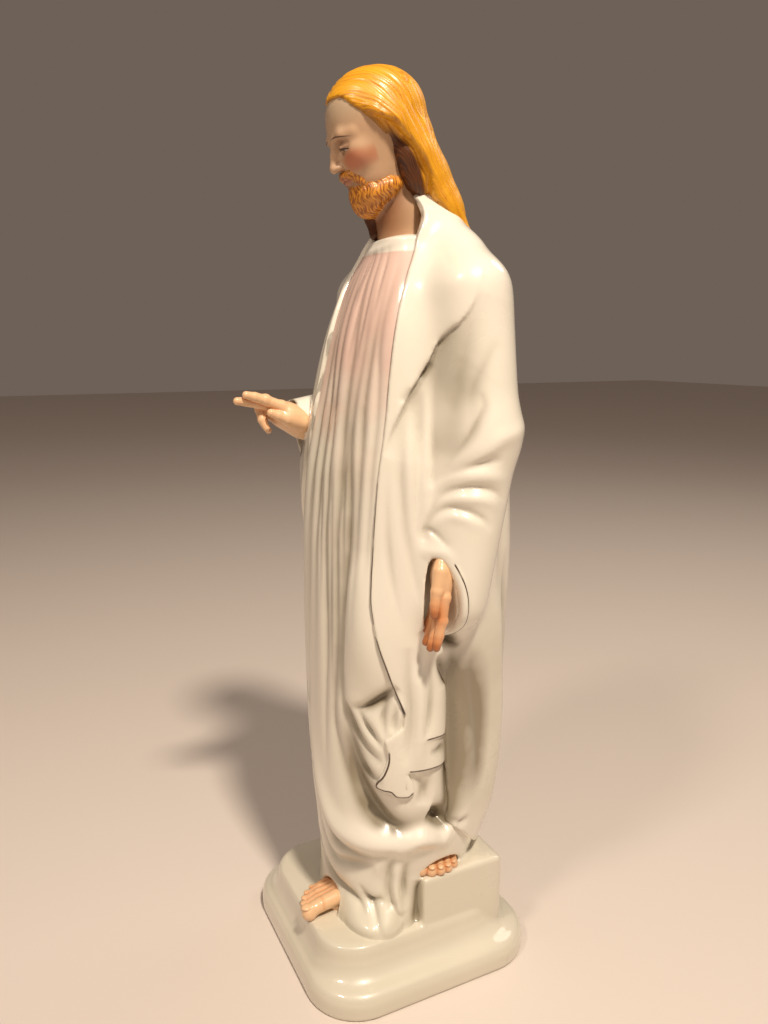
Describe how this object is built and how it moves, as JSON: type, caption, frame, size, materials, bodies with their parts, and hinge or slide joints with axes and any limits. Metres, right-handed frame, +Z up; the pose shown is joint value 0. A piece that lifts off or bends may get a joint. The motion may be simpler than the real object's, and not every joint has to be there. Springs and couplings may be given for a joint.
{
  "type": "porcelain figurine",
  "caption": "Standing robed and bearded porcelain figure with one hand raised and one lowered, cast in one with a stepped base; an ornament that stands by its own weight.",
  "frame": {"origin": "centre of the underside of the base", "axes": "+Z up, -Y the figure's front, +X the figure's left"},
  "size_m": [0.1535, 0.1498, 0.4991],
  "materials": {
    "porcelain": "gloss"
  },
  "bodies": {
    "root": {"figurine": "porcelain"}
  },
  "joints": []
}
